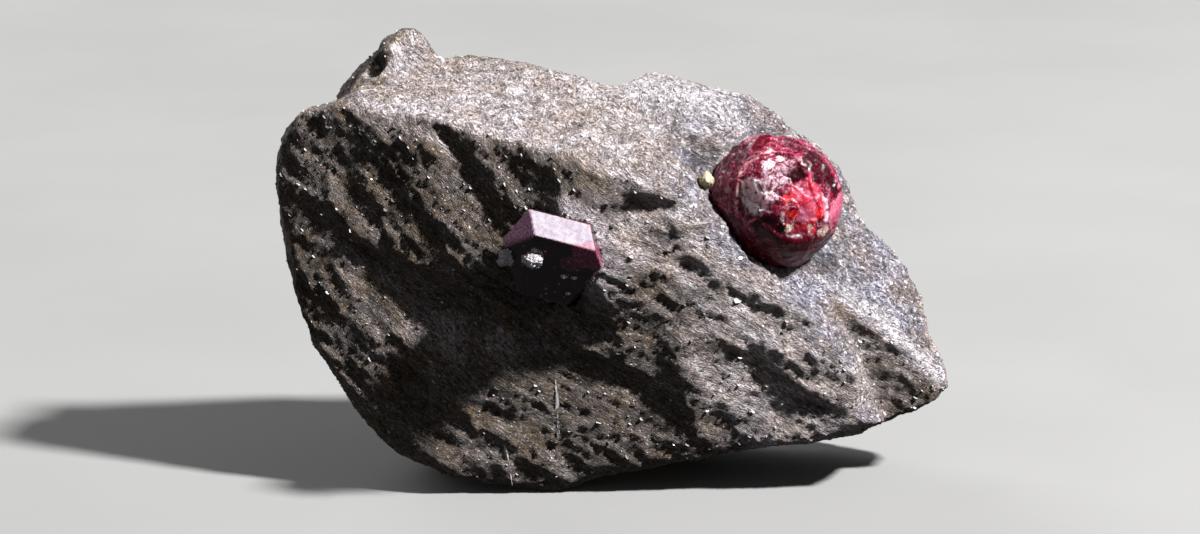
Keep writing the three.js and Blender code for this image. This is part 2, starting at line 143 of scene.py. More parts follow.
# Patches on the large garnet, in millimetres from its centre as the viewer sees it:
# right, up, half width, half height, turn in degrees, weight.
GARNET_PATCHES = {
    "Coat": (
        (-0.2, 2.9, 1.9, 1.4, 20, 0.78),
        # Weights above 0.75 turn the coat white; this full weight is painted light on the crystal's left
        # side, which the light barely reaches.
        (-2.6, 0.6, 1.5, 2.3, 15, 1.0),
        (-1.2, 0.9, 1.6, 1.3, 0, 0.85),
        (1.7, 4.8, 0.9, 0.5, -15, 0.55),
        (5.5, -0.6, 0.6, 1.9, 12, 0.8),
    ),
    "White": (
        (-1.0, 4.3, 0.75, 0.5, 15, 1.0),
        (0.4, 4.9, 0.55, 0.35, 0, 0.8),
        (0.7, -2.0, 0.22, 0.85, 12, 0.9),
        (-3.2, 0.1, 0.4, 0.7, 10, 0.7),
    ),
    "Fresh": (
        (3.0, 1.4, 2.2, 1.1, 40, 1.0),
        (2.8, -1.6, 2.6, 2.2, 0, 1.0),
        (4.9, -1.2, 0.9, 1.6, 0, 0.8),
        (-1.4, 7.0, 1.3, 0.8, 25, 0.6),
    ),
    # Glow patches are painted light: bright red-orange spots of light from inside the clear crystal.
    "Glow": (
        (1.2, 0.1, 0.6, 0.45, 30, 1.0),
        (2.0, -1.5, 0.5, 0.35, 10, 1.0),
        (-2.6, -2.4, 0.45, 0.35, 0, 0.8),
        (5.2, -1.3, 0.4, 0.5, 0, 0.9),
        (4.4, -3.4, 0.5, 0.35, 0, 0.9),
        (0.3, -4.6, 0.35, 0.25, 0, 0.7),
    ),
    "Pink": (
        (3.2, -1.5, 1.1, 0.8, 15, 0.9),
        (3.1, 2.2, 1.0, 0.4, 40, 0.6),
    ),
    "Dark": (
        (2.4, 6.7, 1.6, 0.7, -25, 0.7),
        (5.3, 3.9, 3.1, 1.0, -50, 0.85),
        (2.3, 3.0, 1.1, 0.9, 0, 0.75),
        (-0.4, -3.2, 2.3, 1.5, -10, 0.8),
        (-0.4, -0.2, 0.7, 0.5, 0, 0.8),
        # This patch is painted shade: it darkens the crystal's lower left, which turns from the light into
        # its pit.
        (-5.6, -3.6, 1.7, 2.6, 35, 0.7),
    ),
    "Cream": (
        (-3.6, 1.7, 0.35, 0.5, 10, 0.9),
        (1.8, -3.25, 0.6, 0.45, 0, 1.0),
        (3.8, -2.9, 0.42, 0.35, 0, 0.9),
        (5.6, -3.5, 0.7, 0.45, 40, 0.8),
        (-0.6, 4.1, 0.3, 0.25, 0, 0.9),
    ),
}
# Flat breaks on the large garnet, by their corners: black, deep red, crimson and pink ones.
GARNET_FACETS = {
    "Dark": (
        ((3.0, 5.0), (4.3, 6.2), (5.3, 4.3), (4.3, 3.6), (3.3, 3.7)),
        ((5.6, 3.55), (6.7, 2.6), (7.65, 1.15), (7.05, 0.55), (6.2, 1.9)),
        ((4.4, 3.3), (5.3, 2.7), (5.3, 2.0), (4.4, 2.3)),
        ((1.65, 3.55), (3.1, 3.7), (3.1, 2.8), (2.1, 1.9), (1.4, 2.6)),
        ((-3.1, -2.7), (-1.5, -1.7), (0.45, -2.0), (1.4, -3.65), (0.0, -4.6), (-2.2, -4.4)),
    ),
    "Deep": (
        ((-3.0, 6.7), (-1.8, 7.75), (-0.3, 8.1), (-0.9, 6.9), (-2.7, 5.7)),
        ((-0.2, -4.8), (3.6, -3.9), (4.3, -4.6), (3.3, -6.8), (1.2, -8.0), (-2.2, -7.4), (-3.4, -5.6)),
    ),
    "Crimson": (
        ((2.4, 1.9), (4.05, 3.1), (5.5, 0.9), (3.3, -0.3), (1.65, 0.4)),
        ((3.4, -0.5), (5.3, 0.6), (5.9, -1.4), (4.6, -2.6)),
    ),
    "Pink": (((6.5, -0.8), (7.9, 1.15), (8.25, 0.0), (7.4, -2.2), (6.5, -2.9)),),
}

# The lip of the shell that has broken away, on the left of the large garnet.
SHELL_LIP = (
    (-0.3, 6.1), (-1.7, 5.5), (-3.1, 4.7), (-4.15, 3.45), (-4.55, 2.4), (-4.55, 0.6), (-4.6, -1.9)
)

# White crusts on the small garnet: right, up, half width, half height.
WHITE_CRUSTS = (
    (-10.75, 5.05, 0.95, 0.9),
    (-7.9, 4.9, 1.1, 0.85),
    (-4.2, 2.9, 0.4, 0.26),
    (-3.0, 2.7, 0.34, 0.22),
    (-0.2, 3.0, 0.36, 0.42),
    (-3.7, 0.9, 0.3, 0.2),
)

# On the small garnet, from its centre: the wine-coloured part of the front, painted light that shows through
# the crystal, and the rusty lower rim.
WINE_GLOW_PATCHES = (
    (4.0, 0.3, 2.0, 1.7, 0, 1.0),
    (1.8, -0.6, 1.2, 0.8, 20, 0.6),
)
LOWER_RIM = ((5.6, -0.9), (4.6, -2.6), (3.3, -4.2), (2.3, -5.2))

# Pale slivers in the schist, by their two ends: right and up.
PALE_SLIVERS = (
    ((-5.2, -10.0), (-5.0, -15.8)),
    ((-11.3, -17.3), (-10.6, -21.2)),
)

BRIGHT_FLAKE = (16.3, 0.1)

# The shelf at the right tip: the ridge along its top, which gets a pale painted highlight, and the edge of
# the rock beside it, by their ends.
SHELF_RIDGE = ((29.3, 0.6), (34.7, -2.9), (36.7, -5.2), (40.6, -9.0))
SHELF_EDGE = ((27.6, 0.6), (33.4, -13.2))
SHELF_SLOPE = 0.3

# The pale hump behind the large garnet, by its crest, which gets a painted highlight, and the blue hollows
# beside that garnet, which get painted shade: right, up, half width, half height, turn in degrees, weight.
HUMP_CREST = ((4.5, 25.6), (9.0, 24.6), (15.0, 22.8))
HOLLOW_SHADE_PATCHES = (
    (12.6, 16.4, 3.0, 1.9, -40, 0.7),
    (26.3, 4.6, 2.2, 1.6, -30, 0.7),
)


def a_length(name, description, millimetres):
    """A length that a user may change, given in millimetres."""
    return FloatProperty(name=name, description=description, default=millimetres * MM, unit="LENGTH")


def a_colour(name, description, default):
    """A colour that a user may change."""
    return FloatVectorProperty(
        name=name, description=description, default=default, size=3, subtype="COLOR"
    )


def a_power(name, description, watts):
    """The power of a light that a user may change."""
    return FloatProperty(name=name, description=description, default=watts, unit="POWER")


def drawn(right, up, out):
    """A point of the drawing, in millimetres, as a point of the specimen, in metres."""
    return DRAWING_ZERO + MM * (right * RIGHT + up * UP + out * TOWARD)


def on_drawing(point):
    """A point of the specimen, in metres, as the drawing has it, in millimetres."""
    return DRAWING_TURN @ ((point - DRAWING_ZERO) / MM)


def climb(value, low, high):
    """A smooth rise from 0 at low to 1 at high."""
    share = min(max((value - low) / (high - low), 0.0), 1.0)
    return share * share * (3.0 - 2.0 * share)


def drift(place):
    """A soft shift that wanders from place to place, the same on every run."""
    up = noise.noise(place + Vector((31.4, 0.0, 0.0)))
    out = noise.noise(place + Vector((0.0, 47.2, 0.0)))
    return Vector((noise.noise(place), up, out))


def merged_copy(node):
    """A solid's mesh with its loose triangles joined."""
    shape = bmesh.new()
    shape.from_mesh(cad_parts[node].data)
    bmesh.ops.remove_doubles(shape, verts=shape.verts, dist=0.002 * MM)
    return shape


def as_object(shape, name, finish):
    """A finished mesh as an object of the scene."""
    mesh = bpy.data.meshes.new(name)
    shape.to_mesh(mesh)
    shape.free()
    made = bpy.data.objects.new(name, mesh)
    bpy.context.scene.collection.objects.link(made)
    mesh.materials.append(finish)
    return made


def as_piece(shape, name, finish, node=None):
    """A finished mesh as a piece of the specimen, in the place of its solid."""
    piece = as_object(shape, name, finish)
    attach(piece, "root")
    if node:
        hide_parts(node)
    return piece


def evened(piece, pitch, wear=0):
    """Gives a piece an even net of faces at that pitch, worn smooth in as many rounds, and smooth shading."""
    modifier = piece.modifiers.new("Even net", "REMESH")
    modifier.mode = "VOXEL"
    modifier.voxel_size = pitch
    if wear:
        modifier = piece.modifiers.new("Wear", "SMOOTH")
        modifier.factor = 0.5
        modifier.iterations = wear
    graph = bpy.context.evaluated_depsgraph_get()
    net = bpy.data.meshes.new_from_object(piece.evaluated_get(graph))
    piece.modifiers.clear()
    coarse = piece.data
    for finish in coarse.materials:
        if finish.name not in net.materials:
            net.materials.append(finish)
    net.name = piece.name
    piece.data = net
    bpy.data.meshes.remove(coarse)
    net.shade_smooth()


def points_and_normals(mesh):
    """The mesh's points and their normals, as two lists of vectors."""
    count = len(mesh.vertices)
    points = np.zeros(3 * count, np.float32)
    mesh.vertices.foreach_get("co", points)
    normals = np.zeros(3 * count, np.float32)
    mesh.vertex_normals.foreach_get("vector", normals)
    return (
        [Vector(p) for p in points.reshape(-1, 3).tolist()],
        [Vector(n) for n in normals.reshape(-1, 3).tolist()],
    )


def set_points(mesh, points):
    """Puts the mesh's points in new places."""
    mesh.vertices.foreach_set("co", np.array(points, np.float32).ravel())
    mesh.update()


def set_marks(mesh, marks, domain="POINT"):
    """Keeps numbers with the mesh, one list for each name, for the finish to read."""
    for name, values in marks.items():
        kept = mesh.attributes.new(name, "FLOAT", domain)
        kept.data.foreach_set("value", np.array(values, np.float32))


def patch_weight(patches, right, up):
    """How much a place lies in the patches, from 0 to 1."""
    most = 0.0
    for centre, height, wide, tall, turn, weight in patches:
        angle = math.radians(turn)
        dx, dy = right - centre, up - height
        along = (dx * math.cos(angle) + dy * math.sin(angle)) / wide
        aside = (dy * math.cos(angle) - dx * math.sin(angle)) / tall
        most = max(most, weight * climb(math.hypot(along, aside), *PATCH_EDGE))
    return most


def facet_weight(facets, right, up):
    """How much a place lies inside one of the facets, from 0 to 1."""
    most = 0.0
    for corners in facets:
        inside = 1e9
        for (ax, ay), (bx, by) in zip(corners, corners[1:] + corners[:1]):
            span = math.hypot(bx - ax, by - ay)
            inside = min(inside, ((right - ax) * (by - ay) - (up - ay) * (bx - ax)) / span)
        most = max(most, climb(inside, *FACET_EDGE))
    return most


def distance_to_line(line, right, up):
    """How far a place lies from a line of points, in millimetres."""
    place, best = Vector((right, up)), 1e9
    for start, end in zip(line[:-1], line[1:]):
        a, span = Vector(start), Vector(end) - Vector(start)
        share = min(max((place - a).dot(span) / span.length_squared, 0.0), 1.0)
        best = min(best, (place - a - share * span).length)
    return best


class Finish:
    """A node material that is put together step by step."""

    def __init__(self, name):
        self.material = bpy.data.materials.new(name)
        self.material.use_nodes = True
        self.tree = self.material.node_tree
        self.tree.nodes.clear()
        self.shader = self.tree.nodes.new("ShaderNodeBsdfPrincipled")
        output = self.tree.nodes.new("ShaderNodeOutputMaterial")
        self.tree.links.new(self.shader.outputs["BSDF"], output.inputs["Surface"])

    def put(self, socket, value):
        """Links a socket to a socket, or sets a plain value on it."""
        if isinstance(value, bpy.types.NodeSocket):
            self.tree.links.new(value, socket)
        elif hasattr(value, "__len__") and socket.type == "RGBA":
            socket.default_value = (*value[:3], 1.0)
        else:
            socket.default_value = value

    def surface(self, **values):
        """Sets the shader's sockets, named with underscores for spaces."""
        for name, value in values.items():
            self.put(self.shader.inputs[name.replace("_", " ")], value)

    def node(self, kind, inputs=None, **settings):
        """A new node with its settings and inputs."""
        made = self.tree.nodes.new("ShaderNode" + kind)
        for name, value in settings.items():
            setattr(made, name, value)
        for key, value in (inputs or {}).items():
            self.put(made.inputs[key], value)
        return made

    def place(self, turn=None):
        """The place on the piece in millimetres, turned to other axes where they are given."""
        coordinates = self.node("TexCoord")
        inputs = {"Vector": coordinates.outputs["Object"], "Scale": (1 / MM,) * 3}
        if turn is not None:
            inputs["Rotation"] = turn.to_euler()
        return self.node("Mapping", inputs).outputs["Vector"]

    def stretched(self, vector, scale):
        """The place scaled by three numbers, so that a pattern is drawn out."""
        return self.node("Mapping", {"Vector": vector, "Scale": scale}).outputs["Vector"]

    def mark(self, name):
        """A number kept with the mesh."""
        return self.node("Attribute", attribute_name=name).outputs["Fac"]

    def clouds(self, vector, scale, detail=4.0, roughness=0.6, distortion=0.0):
        """Soft noise from 0 to 1."""
        inputs = {"Vector": vector, "Scale": scale, "Detail": detail}
        inputs |= {"Roughness": roughness, "Distortion": distortion}
        return self.node("TexNoise", inputs).outputs["Fac"]

    def lines(self, vector, scale, width):
        """Thin wandering lines, 1 on the line and 0 beside it."""
        away = self.maths("SUBTRACT", self.clouds(vector, scale, 5.0, 0.55, 0.6), 0.5)
        return self.between(self.maths("ABSOLUTE", away), 0.2 * width, width, 1.0, 0.0)

    def grains(self, vector, scale):
        """Cells: the distance to a cell's middle, and its own random colour."""
        made = self.node("TexVoronoi", {"Vector": vector, "Scale": scale})
        return made.outputs["Distance"], made.outputs["Color"]

    def channel(self, colour, index):
        """One of a colour's three numbers."""
        return self.node("SeparateColor", {"Color": colour}).outputs[index]

    def between(self, value, low, high, start=0.0, end=1.0):
        """A smooth change from start at low to end at high."""
        inputs = {"Value": value, "From Min": low, "From Max": high, "To Min": start, "To Max": end}
        return self.node("MapRange", inputs, interpolation_type="SMOOTHSTEP").outputs["Result"]

    def maths(self, operation, first, second=0.0):
        """A sum, product or other operation on two numbers."""
        return self.node("Math", {0: first, 1: second}, operation=operation).outputs[0]

    def times(self, first, second):
        """The product of two numbers."""
        return self.maths("MULTIPLY", first, second)

    def plus(self, first, second):
        """The sum of two numbers."""
        return self.maths("ADD", first, second)

    def most(self, first, second):
        """The larger of two numbers."""
        return self.maths("MAXIMUM", first, second)

    def blend(self, share, first, second, kind="MIX"):
        """The second colour over the first, by that share."""
        made = self.node("Mix", {0: share, 6: first, 7: second}, data_type="RGBA", blend_type=kind)
        return made.outputs[2]

    def ramp(self, value, low, high, first, second):
        """The first colour up to low, turning into the second at high."""
        return self.blend(self.between(value, low, high), first, second)

    def toned(self, colour, value, low, high, start, end):
        """A colour made darker or lighter as a number changes."""
        tone = self.between(value, low, high, start, end)
        grey = self.node("CombineColor", {0: tone, 1: tone, 2: tone}).outputs[0]
        return self.blend(1.0, colour, grey, "MULTIPLY")

    def relief(self, height, depth, strength):
        """A fine relief from a height, of that depth in millimetres."""
        inputs = {"Height": height, "Distance": depth * MM, "Strength": strength}
        return self.node("Bump", inputs).outputs["Normal"]

    def glints(self, colour, share, normal):
        """A normal that leans its own way on each grain, by that share."""
        centred = self.node("VectorMath", {0: colour, 1: (0.5, 0.5, 0.5)}, operation="SUBTRACT")
        lean = self.node("VectorMath", {0: centred.outputs[0]}, operation="SCALE")
        self.put(lean.inputs["Scale"], share)
        summed = self.node("VectorMath", {0: normal, 1: lean.outputs[0]}, operation="ADD")
        made = self.node("VectorMath", {0: summed.outputs[0]}, operation="NORMALIZE")
        return made.outputs[0]


def schist_finish(look):
    """Silver-grey mica schist: pale mica, dark streaks along the sheets, brown stain, with painted shade in
    its low places and on its front faces and painted light on its raised places and crests.
    """
    finish = Finish("mica_schist")
    place = finish.place(SHEET_TURN)
    sheets = finish.stretched(place, (1.0, 1.0, 2.6))
    streaks = finish.stretched(place, (0.6, 1.0, 4.0))
    relief = finish.mark("Relief")
    blue = finish.mark("Blue")
    stain_and_shade = finish.mark("Stain")

    broad = finish.clouds(sheets, 0.16, 5.0, 0.62)
    middle = finish.clouds(sheets, 0.7, 7.0, 0.72, 0.5)
    streak = finish.clouds(streaks, 1.3, 5.0, 0.7, 0.8)
    vein = finish.clouds(streaks, 0.34, 6.0, 0.66, 1.0)
    fine = finish.clouds(sheets, 3.4, 4.0, 0.7)
    thread = finish.clouds(finish.stretched(place, (0.45, 0.8, 4.6)), 2.2, 4.0, 0.65, 0.5)
    dust_edge, dust_colour = finish.grains(sheets, 3.1)

    ground = finish.ramp(middle, 0.36, 0.64, look.mica_shade, look.mica)
    sheen = finish.ramp(middle, 0.42, 0.6, look.sheet_shade, look.mica_sheet)
    ground = finish.blend(finish.times(blue, 0.8), ground, sheen)
    ground = finish.blend(finish.between(vein, 0.53, 0.66, 0.0, 0.62), ground, look.quartz)
    # Brown stain and painted shade: the stain mark lies on the faces across the sheets, mostly on the left
    # and on the shelf, which turn from the light.
    rust = finish.between(finish.plus(broad, finish.times(streak, 0.4)), 0.6, 0.82)
    rust = finish.times(rust, finish.between(stain_and_shade, 0.0, 1.0, 0.42, 0.85))
    ground = finish.blend(rust, ground, look.stain_and_shade)
    ground = finish.blend(finish.times(stain_and_shade, 0.45), ground, look.stain_and_shade)
    # Painted shade darkens the stained faces, and painted light lightens the rest of the rock.
    ground = finish.toned(ground, stain_and_shade, 0.0, 1.0, 1.15, 0.56)
    # Black mica streaks gather more on the stained, shaded faces.
    dark = finish.times(finish.between(streak, 0.52, 0.6), finish.between(stain_and_shade, 0.0, 1.0, 0.6, 0.85))
    ground = finish.blend(dark, ground, look.dark_mica)
    ground = finish.blend(finish.times(finish.mark("Collar"), 0.9), ground, look.collar)
    # Painted highlight in the quartz colour along the shelf's ridge and the hump's crest.
    ground = finish.blend(finish.times(finish.mark("Ridge"), 0.8), ground, look.quartz)
    specks = finish.times(
        finish.between(finish.channel(dust_colour, 1), 0.2, 0.15), finish.between(dust_edge, 0.6, 0.35)
    )
    ground = finish.blend(finish.times(specks, 0.6), ground, look.dark_mica)
    bright = finish.times(
        finish.between(finish.channel(dust_colour, 0), 0.86, 0.9), finish.between(dust_edge, 0.55, 0.35)
    )
    ground = finish.blend(finish.times(bright, 0.5), ground, look.quartz)
    # Painted shade in the rock's low places, cracks and hollows, and painted light on its raised places.
    ground = finish.toned(ground, relief, -1.1, 0.9, 0.32, 1.25)
    # Painted shade in the low places of the fine bump and painted light on its high places, from the same
    # noise as the bump.
    ground = finish.toned(ground, fine, 0.38, 0.62, 0.6, 1.45)
    ground = finish.toned(ground, thread, 0.4, 0.57, 0.42, 1.42)

    silver = finish.most(finish.times(blue, 0.6), bright)
    height = finish.plus(finish.times(streak, 0.9), finish.times(fine, 0.8))
    height = finish.plus(height, finish.times(middle, 1.3))
    height = finish.plus(height, finish.times(thread, 0.9))
    normal = finish.relief(height, 0.75, 1.0)
    normal = finish.glints(dust_colour, finish.between(silver, 0.1, 1.0, 0.16, 0.6), normal)
    finish.surface(
        Base_Color=ground,
        Roughness=finish.between(silver, 0.0, 1.0, 0.82, 0.4),
        Specular_IOR_Level=0.5,
        Normal=normal,
    )
    return finish.material


def rough_sheet(place, thickness, spread, seed):
    """How far one sheet of the schist stands out at a place, from about -1 to 1."""
    wander = noise.noise(Vector((place.x + seed, place.y, place.z)) / (3.0 * spread))
    level = place.z / thickness + 1.2 * wander
    sheet = math.floor(level)
    here = (place.x / spread, place.y / spread)
    this = noise.noise(Vector((*here, 5.3 * sheet + seed)))
    following = noise.noise(Vector((*here, 5.3 * (sheet + 1) + seed)))
    return this + (following - this) * climb(level - sheet, 0.72, 1.0)


def drawn_out(place, along, aside, upright):
    """Soft noise from -1 to 1 that is drawn out to three lengths."""
    return noise.noise(Vector((place.x / along, place.y / aside, place.z / upright)))


def step_shift(place, thickness):
    """How far a surface along the sheets moves to lie on the nearest whole sheet."""
    swell = noise.noise(Vector((place.x / 4.5, place.y / 4.5, 1.7)))
    ripple = noise.noise(Vector((place.x / 1.6, place.y / 1.6, 9.1)))
    level = place.z / thickness + 0.9 * swell + 0.3 * ripple
    share = level - math.floor(level)
    return thickness * (climb(share, 0.32, 0.68) - share)


def lip_pull(point, centre, crystal):
    """Where a point of the rock by a crystal goes, so that the rock closes on it."""
    found, _, _, gap = crystal.find_nearest(point, LIP_REACH * MM)
    if found is None or gap < 0.02 * MM:
        return point
    stretch = (LIP_REACH + LIP_OVERLAP) / (LIP_REACH - SOCKET_GAP)
    closed = -LIP_OVERLAP * MM + (gap - SOCKET_GAP * MM) * stretch
    target = found + (point - found) * (closed / gap)
    side = (DRAWING_TURN @ (point - centre)).normalized()
    crevice = climb(side.dot(CREVICE_SIDE), 0.6, 0.85)
    ragged = climb(noise.noise(point / (1.4 * MM)), -0.5, 0.0)
    return point.lerp(target, (1.0 - 0.9 * crevice) * (0.45 + 0.55 * ragged))


def seen(tree, right, up):
    """The place that the viewer meets at a point of the drawing, and its normal."""
    hit, normal, _, _ = tree.ray_cast(drawn(right, up, VIEWER_FAR), -TOWARD)
    if hit is None:
        raise RuntimeError(f"nothing is seen at {right}, {up} on the drawing")
    return hit, normal


def turned_to(direction):
    """The turn that brings the upright onto a direction."""
    return direction.to_track_quat("Z", "Y").to_matrix().to_4x4()


def beside(line, right, up):
    """How far a place lies on the left of the way from a line's start to its end, in millimetres."""
    start, span = Vector(line[0]), Vector(line[-1]) - Vector(line[0])
    return span.normalized().cross(Vector((right, up)) - start)


class SchistSettings(bpy.types.PropertyGroup):
    """Sizes and colours of the schist."""

    pitch: a_length("Net pitch", "Spacing of the net that the rock's surface is drawn on", 0.39)
    thick_sheet: a_length("Thick sheet", "Thickness of the sheets that stand out most", 2.3)
    thin_sheet: a_length("Thin sheet", "Thickness of the thin sheets between them", 0.95)
    sheet_relief: a_length("Sheet relief", "How far the edges of the sheets stand out", 0.5)
    chunk_relief: a_length("Chunk relief", "Height of the broken chunks between the sheets", 0.18)
    grain_relief: a_length("Grain relief", "Height of the single grains", 0.2)
    collar_rise: a_length("Collar rise", "How far the pale rock by the small garnet stands out", 1.9)
    mica: a_colour("Mica", "Colour of the pale mica", (0.72, 0.64, 0.67))
    mica_shade: a_colour("Mica shade", "Colour of the greyer mica between", (0.42, 0.365, 0.37))
    mica_sheet: a_colour("Sheet face", "Colour of mica faces that lie along the sheets", (0.42, 0.41, 0.51))
    sheet_shade: a_colour("Sheet shade", "Colour of the darker mica on those faces", (0.16, 0.155, 0.22))
    quartz: a_colour("Quartz", "Colour of the white grains", (0.86, 0.79, 0.83))
    collar: a_colour("Collar", "Colour of the pale rock that hugs the small garnet", (0.60, 0.53, 0.59))
    dark_mica: a_colour("Dark mica", "Colour of the black mica flakes", (0.055, 0.046, 0.046))
    # This brown is also laid on the front faces as part of their painted shade.
    stain_and_shade: a_colour("Stain", "Colour of the brown weathering stain", (0.33, 0.215, 0.115))


class SPECIMEN_OT_schist(bpy.types.Operator):
    """Build the block of mica schist over its solid"""

    bl_idname = "specimen.schist"
    bl_label = "Schist"

    def execute(self, context):
        look = context.scene.specimen_schist
        finish = schist_finish(look)
        block = as_piece(merged_copy("matrix"), "schist_block", finish, "matrix")
        evened(block, look.pitch)
        crystals = [
            (drawn(*LARGE_CENTRE), "garnet_large"),
            (drawn(*SMALL_CENTRE), "garnet_small"),
            (GRAIN_CENTRE, "pale_grain"),
        ]
        crystals = [(c, BVHTree.FromBMesh(merged_copy(node))) for c, node in crystals]
        self.roughen(block.data, look, crystals)
        return {"FINISHED"}

    def collar(self, view, waver):
        """How much a place belongs to the pale rock that hugs the small garnet on its right."""
        away = view - SMALL_CENTRE
        near = climb(away.length + 1.5 * waver, 10.0, 6.0)
        return near * climb(away.x + 0.35 * away.y, 0.5, 4.0)

    def shelf(self, view, waver):
        """How far the shelf's face lies back at a place, in millimetres, and how much the place is on it."""
        below_ridge = -beside(SHELF_RIDGE, view.x, view.y)
        past_edge = beside(SHELF_EDGE, view.x + waver, view.y)
        inside = climb(past_edge, -0.2, 0.5) * climb(view.z, -4.0, 2.0)
        return SHELF_SLOPE * max(below_ridge, 0.0) * inside, inside * climb(below_ridge, 0.6, 1.6)

    def roughen(self, mesh, look, crystals):
        """Moves the net's points into sheets, steps, grains and cracks."""
        points, normals = points_and_normals(mesh)
        thick, thin = look.thick_sheet / MM, look.thin_sheet / MM
        sheet_relief, grain_relief = look.sheet_relief / MM, look.grain_relief / MM
        chunk_relief = look.chunk_relief / MM
        marks = {"Relief": [], "Blue": [], "Stain": [], "Collar": [], "Ridge": []}
        for index, (point, normal) in enumerate(zip(points, normals)):
            place = SHEET_TURN @ (point / MM)
            lean = normal.dot(SHEET_UPRIGHT)
            across = 1.0 - lean * lean
            edges = rough_sheet(place, thick, 6.0, 11.0)
            edges += 0.5 * rough_sheet(place, thin, 3.2, 37.0)
            crack = max(0.0, 1.0 - abs(drawn_out(place, 6.0, 6.0, 1.2)) / CRACK_WIDTH)
            coarse = drawn_out(place, 5.0, 2.6, 1.2)
            hackle = 0.5 - 2.0 * abs(drawn_out(place, 3.2, 1.7, 0.8))
            grain = noise.noise(point / (0.8 * MM)) + 0.7 * noise.noise(point / (0.42 * MM))
            chunk = Vector((place.x / 3.4, place.y / 2.4, place.z / 1.5))
            chunk += 0.25 * Vector((coarse, grain, hackle))
            middle = noise.voronoi(chunk)[1][0]
            facet = noise.cell_vector(9.0 * middle).dot(chunk - middle)
            vigour = 0.7 + 0.9 * noise.noise(point / (9.0 * MM))
            rise = across * vigour * (sheet_relief * edges - 0.35 * crack)
            rise += grain_relief * (coarse + 0.7 * hackle + 0.6 * grain)
            rise += (0.3 + 0.7 * across) * chunk_relief * facet
            keep = climb(point.z / MM, *FOOT)
            moved = point + normal * (rise * keep * MM)
            moved += SHEET_UPRIGHT * ((1.0 - across) * keep * 0.8 * MM * step_shift(place, 1.0))
            view = on_drawing(point)
            collar = self.collar(view, coarse)
            drop, shelf = self.shelf(view, coarse)
            inward = (RIGHT * (SMALL_CENTRE.x - view.x) + UP * (SMALL_CENTRE.y - view.y)).normalized()
            moved += (TOWARD + 0.7 * inward) * (look.collar_rise * collar) - TOWARD * (drop * MM)
            for centre, crystal in crystals:
                moved = lip_pull(moved, centre, crystal)
            moved.z = max(moved.z, 0.0)
            points[index] = moved
            # Stain mark: brown stain on the faces across the sheets and on the shelf, and with it painted
            # shade on those faces, which turn from the light.
            weathered_and_shaded = climb(view.x + 5.0 * coarse + 0.4 * view.y, 17.0, 2.0)
            weathered_and_shaded *= climb(lean, 0.95, 0.6)
            # Painted shade in the blue hollows beside the large garnet.
            hollow_shade = patch_weight(HOLLOW_SHADE_PATCHES, view.x + coarse, view.y + 1.5 * hackle)
            # Relief mark: the rock's rise less the hollows, read for painted shade low down and painted light
            # high up.
            marks["Relief"].append(rise / 0.7 - hollow_shade)
            blue = climb(lean, 0.72, 0.95) * climb(view.x + 4.0 * coarse, 4.0, 12.0)
            marks["Blue"].append(blue * (1.0 - shelf))
            marks["Stain"].append(max(weathered_and_shaded, 0.75 * shelf))
            marks["Collar"].append(collar)
            # Painted highlight along the crest of the shelf's ridge and of the hump.
            from_ridge = distance_to_line(SHELF_RIDGE, view.x + coarse, view.y)
            ridge_highlight = climb(from_ridge, 1.5, 0.4) * climb(view.z, -4.0, 0.0)
            hump_highlight = climb(distance_to_line(HUMP_CREST, view.x, view.y + 2.0 * coarse), 3.6, 1.0)
            marks["Ridge"].append(max(ridge_highlight, 0.7 * hump_highlight * climb(normal.y, 0.5, 0.0)))
        set_points(mesh, points)
        set_marks(mesh, marks)


